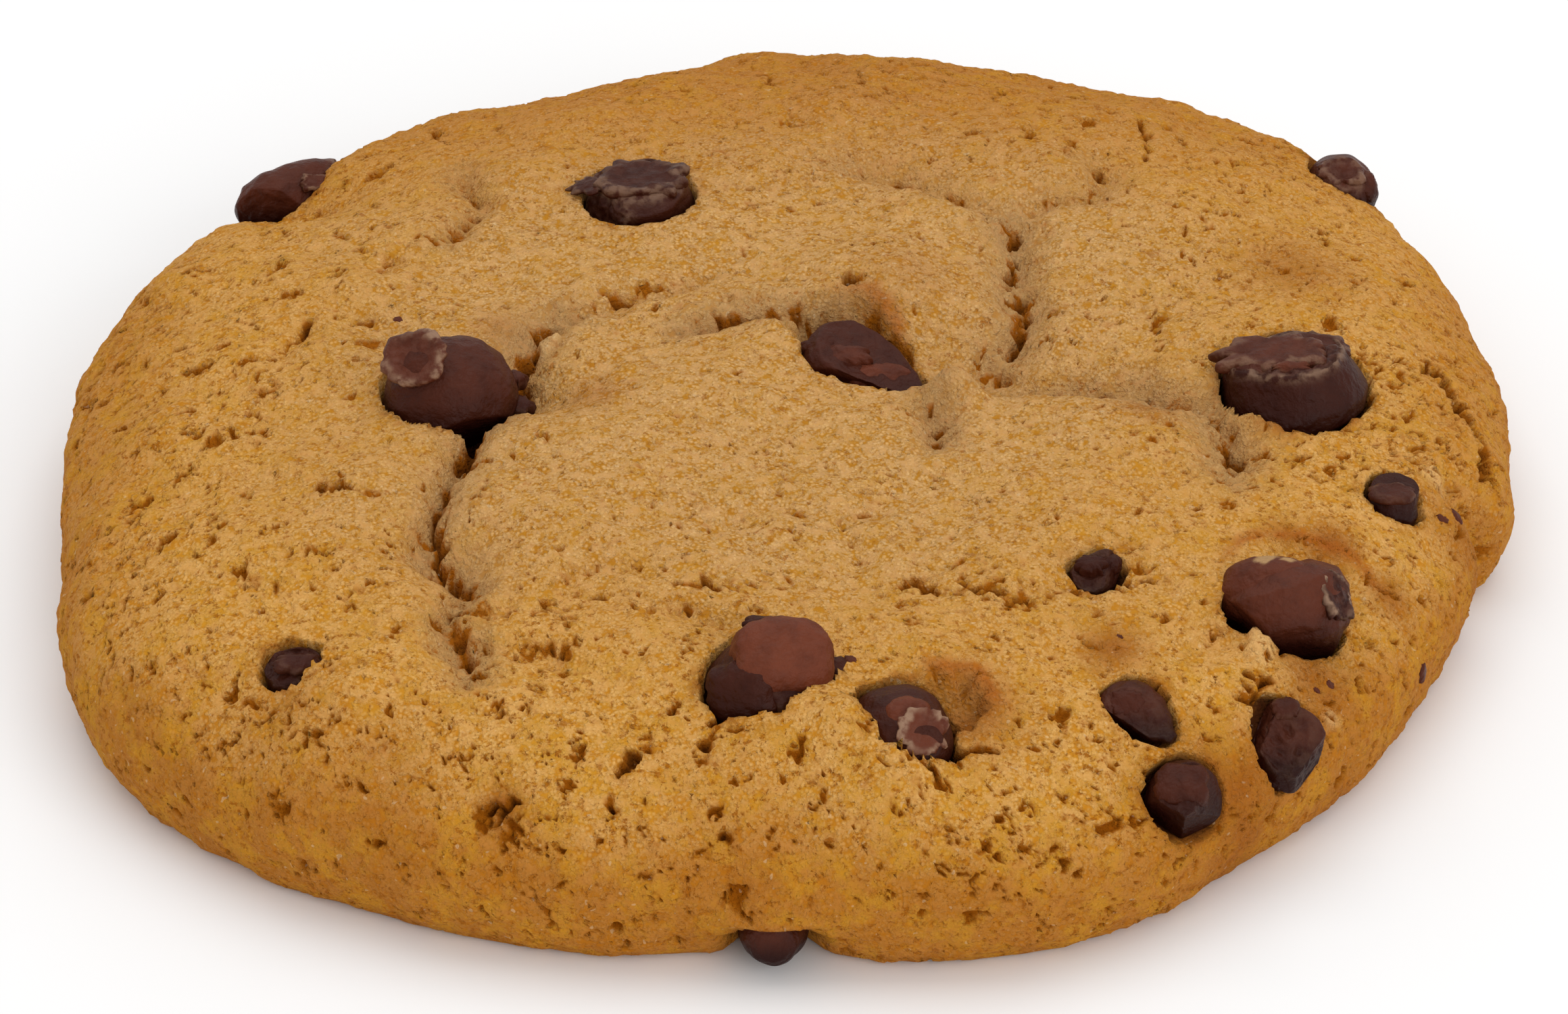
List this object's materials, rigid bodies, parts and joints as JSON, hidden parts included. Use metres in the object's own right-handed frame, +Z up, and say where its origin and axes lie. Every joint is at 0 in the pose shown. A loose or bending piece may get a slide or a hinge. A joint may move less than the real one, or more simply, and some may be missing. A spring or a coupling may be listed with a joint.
{
  "type": "chocolate chip cookie",
  "caption": "Round baked chocolate chip cookie with a cracked domed top, a rounded rim, a flat underside and chocolate chips set in the crust.",
  "frame": {"origin": "middle of the flat underside, on the surface that the cookie lies on", "axes": "+Z up through the crown, -Y towards the front of the cookie as pictured, +X to the right seen from there"},
  "size_m": [0.0838, 0.0832, 0.0158],
  "materials": {
    "crust": "matte baked dough, golden brown, darker at the rim and the underside",
    "chocolate": "satin dark chocolate with pale bloomed tips"
  },
  "bodies": {
    "root": {"dough": "crust", "chip_back_left_rim": "chocolate", "chip_back_left": "chocolate", "chip_left": "chocolate", "chip_centre": "chocolate", "chip_right": "chocolate", "chip_back_right_rim": "chocolate", "chip_right_small": "chocolate", "chip_front_right": "chocolate", "chip_middle_shard": "chocolate", "chip_front": "chocolate", "chip_front_tip": "chocolate", "chip_lower_right_long": "chocolate", "chip_lower_right_slab": "chocolate", "chip_lower_right_round": "chocolate", "chip_front_left_small": "chocolate", "chip_under_front_rim": "chocolate"}
  },
  "joints": []
}
